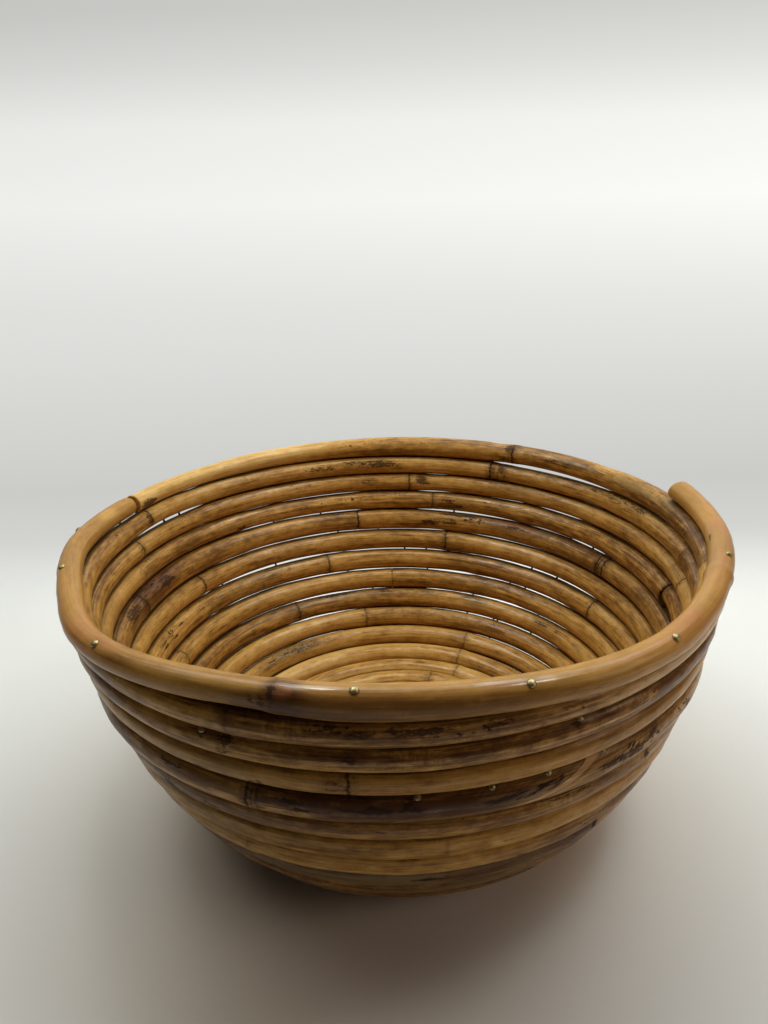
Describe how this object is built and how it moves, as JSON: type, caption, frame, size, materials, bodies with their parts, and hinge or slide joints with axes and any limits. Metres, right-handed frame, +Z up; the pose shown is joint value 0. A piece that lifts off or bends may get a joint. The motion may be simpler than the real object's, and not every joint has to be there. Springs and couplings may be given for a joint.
{
  "type": "coiled basket",
  "caption": "Open bowl-shaped basket made of a spiral of cane poles, joined end to end and nailed turn to turn, with a flat foot ring.",
  "frame": {"origin": "middle of the footprint, on the surface that the basket stands on", "axes": "+Z up through the open top, +X along the longest width of the slightly oval rim"},
  "size_m": [0.3346, 0.3274, 0.1635],
  "materials": {
    "cane": "stained honey brown and varnished",
    "brass": "polished, slightly tarnished",
    "steel": "plain wire nail, darkened by age"
  },
  "bodies": {
    "root": {"rim_pole": "cane", "upper_wall_pole_1": "cane", "upper_wall_pole_2": "cane", "middle_wall_pole_1": "cane", "middle_wall_pole_2": "cane", "middle_wall_pole_3": "cane", "middle_wall_pole_4": "cane", "middle_wall_pole_5": "cane", "lower_wall_pole_1": "cane", "lower_wall_pole_2": "cane", "lower_wall_pole_3": "cane", "base_pole": "cane", "rim_pin_1": "brass", "rim_pin_2": "brass", "rim_pin_3": "brass", "rim_pin_4": "brass", "rim_pin_5": "brass", "rim_pin_6": "brass", "rim_pin_7": "brass", "rim_pin_8": "brass", "wall_pin_1": "brass", "wall_pin_2": "brass", "wall_pin_3": "brass", "wall_pin_4": "brass", "wall_pin_5": "brass", "wall_pin_6": "brass", "wall_pin_7": "brass", "row_brad_1": "steel", "row_brad_2": "steel", "row_brad_3": "steel", "row_brad_4": "steel", "row_brad_5": "steel", "row_brad_6": "steel", "row_brad_7": "steel", "row_brad_8": "steel", "row_brad_9": "steel", "row_brad_10": "steel", "row_brad_11": "steel", "joint_brad_1_upper": "steel", "joint_brad_1_lower": "steel", "joint_brad_2_upper": "steel", "joint_brad_2_lower": "steel", "joint_brad_3_upper": "steel", "joint_brad_3_lower": "steel", "joint_brad_4_upper": "steel", "joint_brad_4_lower": "steel", "joint_brad_5_upper": "steel", "joint_brad_5_lower": "steel", "joint_brad_6_upper": "steel", "joint_brad_6_lower": "steel", "joint_brad_7_upper": "steel", "joint_brad_7_lower": "steel", "joint_brad_8_upper": "steel", "joint_brad_8_lower": "steel", "joint_brad_9_upper": "steel", "joint_brad_9_lower": "steel", "joint_brad_10_upper": "steel", "joint_brad_10_lower": "steel", "joint_brad_11_upper": "steel", "joint_brad_11_lower": "steel"}
  },
  "joints": []
}
